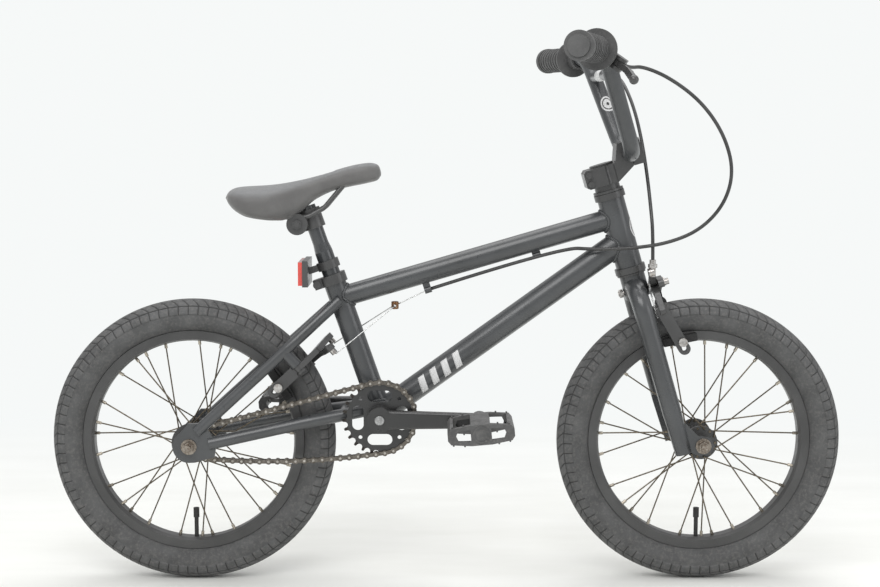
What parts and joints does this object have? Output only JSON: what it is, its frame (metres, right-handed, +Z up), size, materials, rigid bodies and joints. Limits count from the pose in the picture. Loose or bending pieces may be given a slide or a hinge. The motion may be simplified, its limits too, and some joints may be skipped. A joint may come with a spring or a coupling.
{
  "type": "bmx bike",
  "caption": "Small-wheeled BMX bike with a diamond frame, riser bars, single-speed chain drive, front and rear rim brakes and a padded saddle.",
  "frame": {"origin": "on the ground in the bike's middle plane, midway between the two axles", "axes": "+X forward, +Y to the rider's left, +Z up"},
  "size_m": [1.1296, 0.5938, 0.7773],
  "materials": {
    "frame_paint": "satin black paint with a faint metallic sheen",
    "bar_paint": "satin black paint",
    "post_paint": "satin black paint",
    "black_parts": "semi-gloss black paint",
    "black_aluminium": "black anodised",
    "brake_metal": "black painted forging",
    "tyre_rubber": "matt rubber",
    "tube_rubber": "smooth rubber",
    "grip_rubber": "soft moulded rubber",
    "pedal_plastic": "moulded plastic",
    "spoke_steel": "zinc-plated wire",
    "hardware_steel": "plated steel, slightly worn",
    "bearing_steel": "ground steel",
    "chain_steel": "dark oiled steel",
    "cable_housing": "smooth black sheath",
    "bright_wire": "stranded wire",
    "saddle_cover": "smooth black synthetic cover",
    "reflector_red": "clear red lens"
  },
  "bodies": {
    "frame": {"head_tube": "frame_paint", "top_tube": "frame_paint", "down_tube": "frame_paint", "seat_tube": "frame_paint", "bottom_bracket_shell": "frame_paint", "chain_stays": "frame_paint", "seat_stays": "frame_paint", "rear_dropouts": "frame_paint", "seat_clamp": "black_parts", "bearing_cups": "bearing_steel", "bearing_balls": "bearing_steel", "rear_axle": "hardware_steel", "rear_axle_nuts": "hardware_steel", "chain": "chain_steel", "rear_brake_cable": "cable_housing", "rear_brake_wire": "bright_wire", "rear_brake_bolts": "hardware_steel"},
    "steering": {"fork_steerer": "frame_paint", "fork_legs": "frame_paint", "stem": "black_parts", "stem_clamp": "black_parts", "stem_bolts": "hardware_steel", "headset_spacers": "black_parts", "handlebar": "bar_paint", "grips": "grip_rubber", "lever_brackets": "brake_metal", "front_axle": "hardware_steel", "front_axle_nuts": "hardware_steel", "front_brake_cable": "cable_housing", "front_brake_bolt": "hardware_steel"},
    "front_wheel": {"front_tyre": "tyre_rubber", "front_inner_tube": "tube_rubber", "front_rim": "black_aluminium", "front_spokes": "spoke_steel", "front_hub": "black_aluminium"},
    "rear_wheel": {"rear_tyre": "tyre_rubber", "rear_inner_tube": "tube_rubber", "rear_rim": "black_aluminium", "rear_spokes": "spoke_steel", "rear_hub": "black_aluminium"},
    "freewheel": {"freewheel_cog": "bearing_steel"},
    "cranks": {"crank_spindle": "bearing_steel", "chainring": "black_parts", "right_crank_arm": "black_parts", "left_crank_arm": "black_parts", "pedal_axles": "hardware_steel"},
    "right_pedal": {"right_pedal": "pedal_plastic"},
    "left_pedal": {"left_pedal": "pedal_plastic"},
    "front_right_arm": {"front_right_brake_arm": "brake_metal"},
    "front_left_arm": {"front_left_brake_arm": "brake_metal"},
    "rear_right_arm": {"rear_right_brake_arm": "brake_metal"},
    "rear_left_arm": {"rear_left_brake_arm": "brake_metal"},
    "right_lever": {"right_brake_lever": "brake_metal"},
    "left_lever": {"left_brake_lever": "brake_metal"},
    "seat": {"saddle": "saddle_cover", "saddle_rails": "hardware_steel", "saddle_clamp": "black_parts", "seatpost": "post_paint", "reflector_bracket": "black_parts", "reflector": "reflector_red"}
  },
  "joints": [
    {"name": "steering", "type": "hinge", "parent": "frame", "child": "steering", "pos_m": [0.24607, 0, 0.50256], "axis": [-0.2807, 0, 0.9598], "range_deg": [-70, 70], "deforming": ["rear_brake_cable"]},
    {"name": "front_wheel_spin", "type": "hinge", "parent": "steering", "child": "front_wheel", "pos_m": [0.3618, 0, 0.203], "axis": [0, 1, 0], "continuous": true},
    {"name": "rear_wheel_spin", "type": "hinge", "parent": "frame", "child": "rear_wheel", "pos_m": [-0.3618, 0, 0.203], "axis": [0, 1, 0], "continuous": true},
    {"name": "crank_spin", "type": "hinge", "parent": "frame", "child": "cranks", "pos_m": [-0.09381, 0, 0.2415], "axis": [0, 1, 0], "continuous": true, "deforming": ["chain"]},
    {"name": "freewheel_spin", "type": "hinge", "parent": "frame", "child": "freewheel", "pos_m": [-0.3618, 0, 0.203], "axis": [0, 1, 0], "continuous": true},
    {"name": "right_pedal_spin", "type": "hinge", "parent": "cranks", "child": "right_pedal", "pos_m": [0.04619, -0.067, 0.2415], "axis": [0, 1, 0], "continuous": true},
    {"name": "left_pedal_spin", "type": "hinge", "parent": "cranks", "child": "left_pedal", "pos_m": [-0.23381, 0.067, 0.2415], "axis": [0, 1, 0], "continuous": true},
    {"name": "right_lever_squeeze", "type": "hinge", "parent": "steering", "child": "right_lever", "pos_m": [0.22189, -0.1758, 0.73304], "axis": [-0.5515, 0.1655, -0.8176], "range_deg": [0, 25], "stiffness_Nm_per_rad": 0.6, "springref_deg": -14.32},
    {"name": "left_lever_squeeze", "type": "hinge", "parent": "steering", "child": "left_lever", "pos_m": [0.22189, 0.1758, 0.73304], "axis": [0.5515, 0.1655, 0.8176], "range_deg": [0, 25], "stiffness_Nm_per_rad": 0.6, "springref_deg": -14.32},
    {"name": "rear_right_arm_pivot", "type": "hinge", "parent": "frame", "child": "rear_right_arm", "pos_m": [-0.22855, -0.043, 0.33527], "axis": [0.6731, 0, -0.7395], "range_deg": [0, 2.25], "deforming": ["rear_brake_wire"]},
    {"name": "rear_left_arm_pivot", "type": "hinge", "parent": "frame", "child": "rear_left_arm", "pos_m": [-0.22855, 0.043, 0.33527], "axis": [0.6731, 0, -0.7395], "range_deg": [-2.25, 0]},
    {"name": "front_right_arm_pivot", "type": "hinge", "parent": "steering", "child": "front_right_arm", "pos_m": [0.27049, 0, 0.41906], "axis": [0.9598, 0, 0.2807], "range_deg": [0, 1.25], "deforming": ["front_brake_cable"]},
    {"name": "front_left_arm_pivot", "type": "hinge", "parent": "steering", "child": "front_left_arm", "pos_m": [0.27049, 0, 0.41906], "axis": [0.9598, 0, 0.2807], "range_deg": [-1.25, 0]},
    {"name": "seat_height", "type": "slide", "parent": "frame", "child": "seat", "axis": [-0.3289, 0, 0.9444], "range_m": [0, 0.05]}
  ],
  "couplings": [
    {"joint": "freewheel_spin", "follows": "crank_spin", "ratio": 2.7778},
    {"joint": "rear_right_arm_pivot", "follows": "right_lever_squeeze", "ratio": 0.088},
    {"joint": "rear_left_arm_pivot", "follows": "right_lever_squeeze", "ratio": -0.088},
    {"joint": "front_right_arm_pivot", "follows": "left_lever_squeeze", "ratio": 0.048},
    {"joint": "front_left_arm_pivot", "follows": "left_lever_squeeze", "ratio": -0.048}
  ]
}
